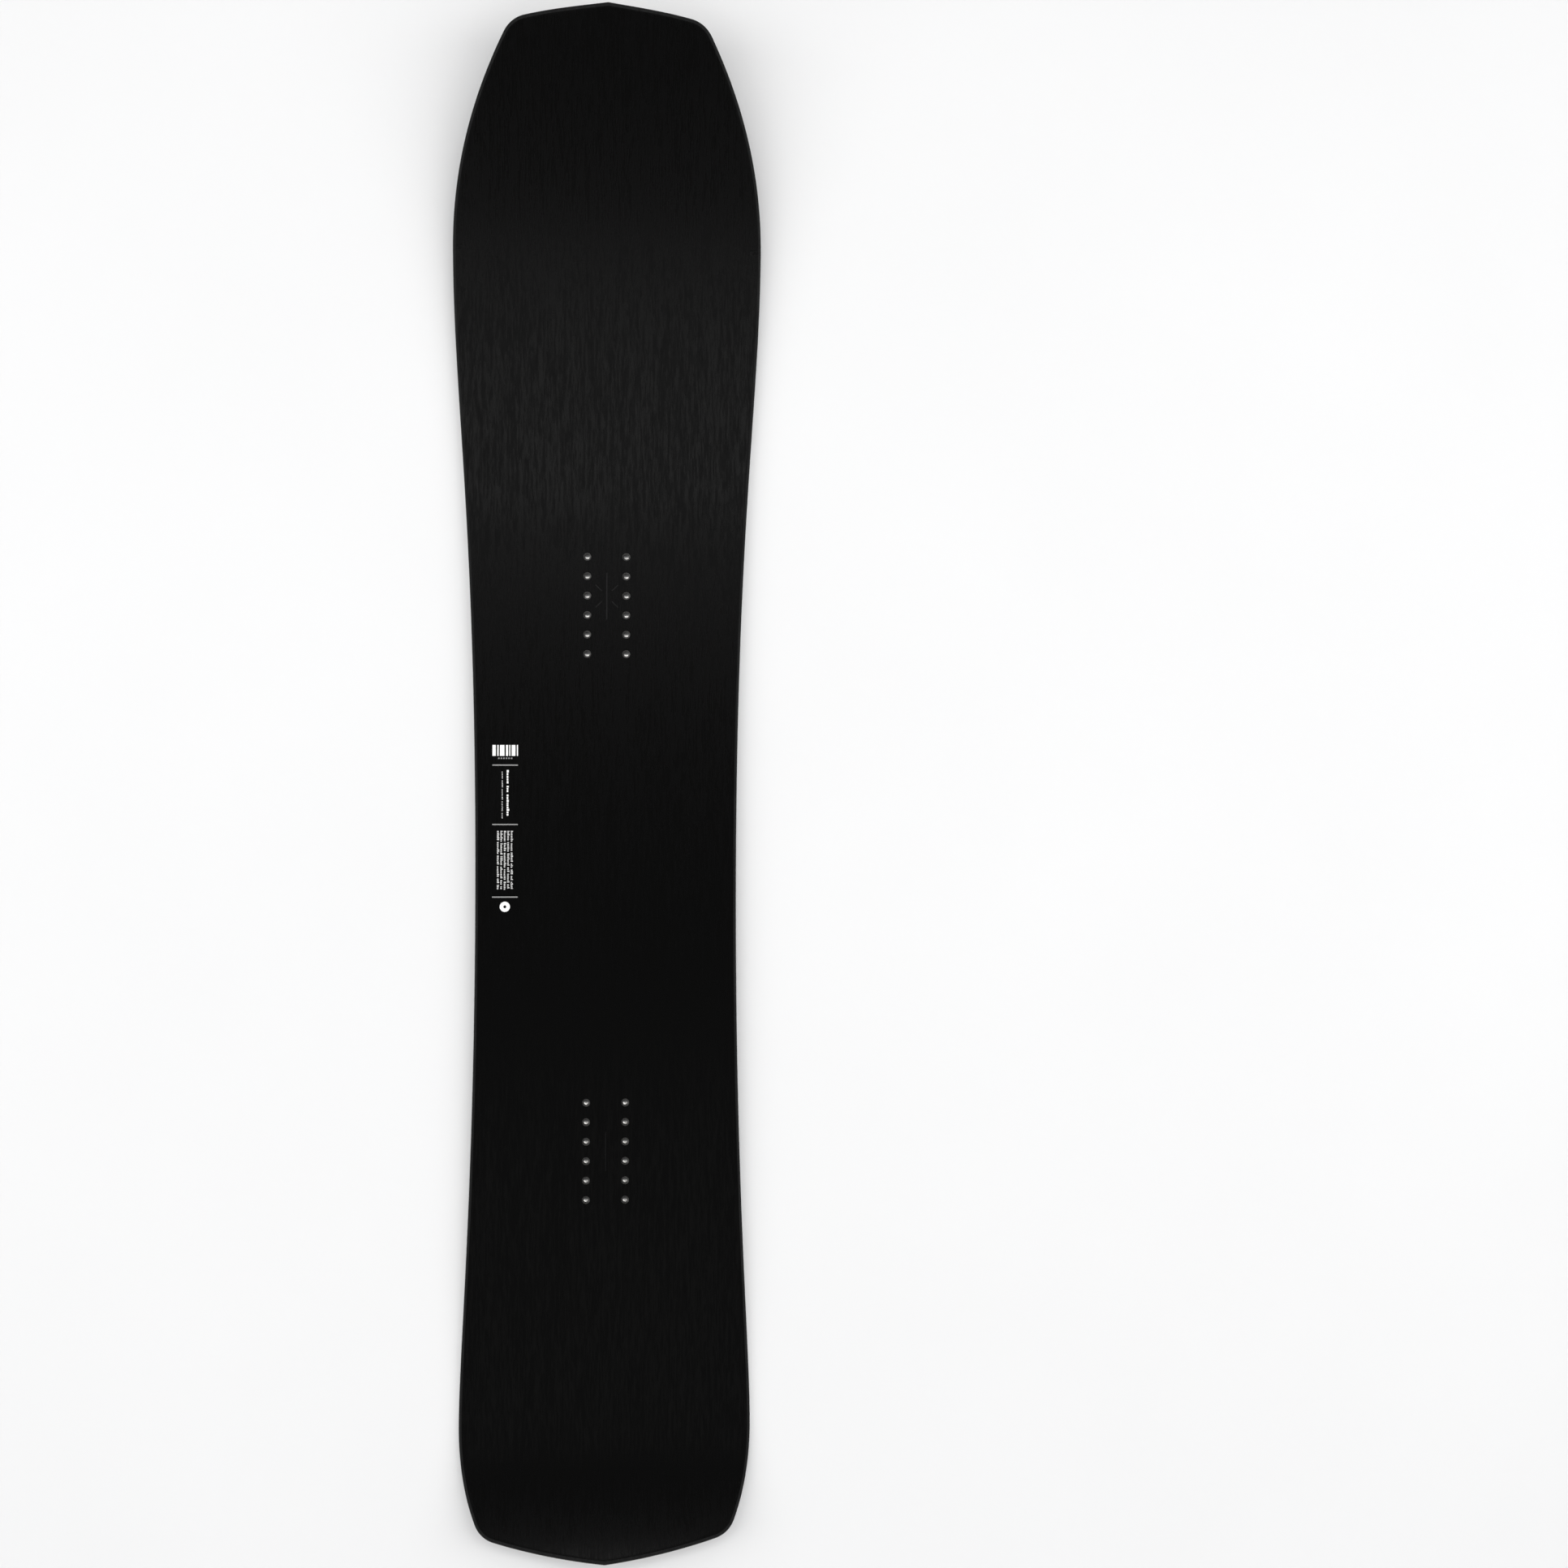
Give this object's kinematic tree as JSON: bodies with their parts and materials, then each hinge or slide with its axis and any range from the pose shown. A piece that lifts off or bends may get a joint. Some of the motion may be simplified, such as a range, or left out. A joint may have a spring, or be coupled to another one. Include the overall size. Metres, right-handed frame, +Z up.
{
  "type": "snowboard",
  "caption": "Directional solid snowboard with full-wrap steel edges, sidewalls, a wood-strip core, laminates and threaded binding inserts.",
  "frame": {"origin": "centre of the bounding box in X and Y, at the lowest line of the base, which the board lies on", "axes": "+X across the board towards its right-hand rail seen from above, +Y along the board towards the nose, +Z up out of the deck"},
  "size_m": [0.3146, 1.5788, 0.0736],
  "materials": {
    "topsheet": "satin black film over a brushed lengthwise wood grain",
    "glass_laminate": "epoxy-wetted glass cloth, pale green-grey",
    "poplar": "planed poplar, grain along the board",
    "beech": "planed beech, grain along the board",
    "sidewall": "planed black ABS, satin",
    "tip_spacer": "black ABS sheet, satin",
    "edge_steel": "ground steel",
    "edge_foil": "matt rubber foil",
    "base": "black sintered polyethylene, stone-ground and waxed",
    "insert_steel": "turned stainless steel"
  },
  "bodies": {
    "root": {"base_sheet": "base", "bottom_glass": "glass_laminate", "core_stringer_left": "beech", "core_stringer_right": "beech", "core_strip_centre": "poplar", "core_strip_left_1": "poplar", "core_strip_left_2": "poplar", "core_strip_left_3": "poplar", "core_strip_left_4": "poplar", "core_strip_right_1": "poplar", "core_strip_right_2": "poplar", "core_strip_right_3": "poplar", "core_strip_right_4": "poplar", "edge_rubber_left": "edge_foil", "edge_rubber_right": "edge_foil", "insert_front_left_1": "insert_steel", "insert_front_left_2": "insert_steel", "insert_front_left_3": "insert_steel", "insert_front_left_4": "insert_steel", "insert_front_left_5": "insert_steel", "insert_front_left_6": "insert_steel", "insert_front_right_1": "insert_steel", "insert_front_right_2": "insert_steel", "insert_front_right_3": "insert_steel", "insert_front_right_4": "insert_steel", "insert_front_right_5": "insert_steel", "insert_front_right_6": "insert_steel", "insert_rear_left_1": "insert_steel", "insert_rear_left_2": "insert_steel", "insert_rear_left_3": "insert_steel", "insert_rear_left_4": "insert_steel", "insert_rear_left_5": "insert_steel", "insert_rear_left_6": "insert_steel", "insert_rear_right_1": "insert_steel", "insert_rear_right_2": "insert_steel", "insert_rear_right_3": "insert_steel", "insert_rear_right_4": "insert_steel", "insert_rear_right_5": "insert_steel", "insert_rear_right_6": "insert_steel", "sidewall_left": "sidewall", "sidewall_right": "sidewall", "steel_edge_left": "edge_steel", "steel_edge_right": "edge_steel", "tail_spacer": "tip_spacer", "tip_spacer": "tip_spacer", "top_glass": "glass_laminate", "topsheet": "topsheet"}
  },
  "joints": []
}
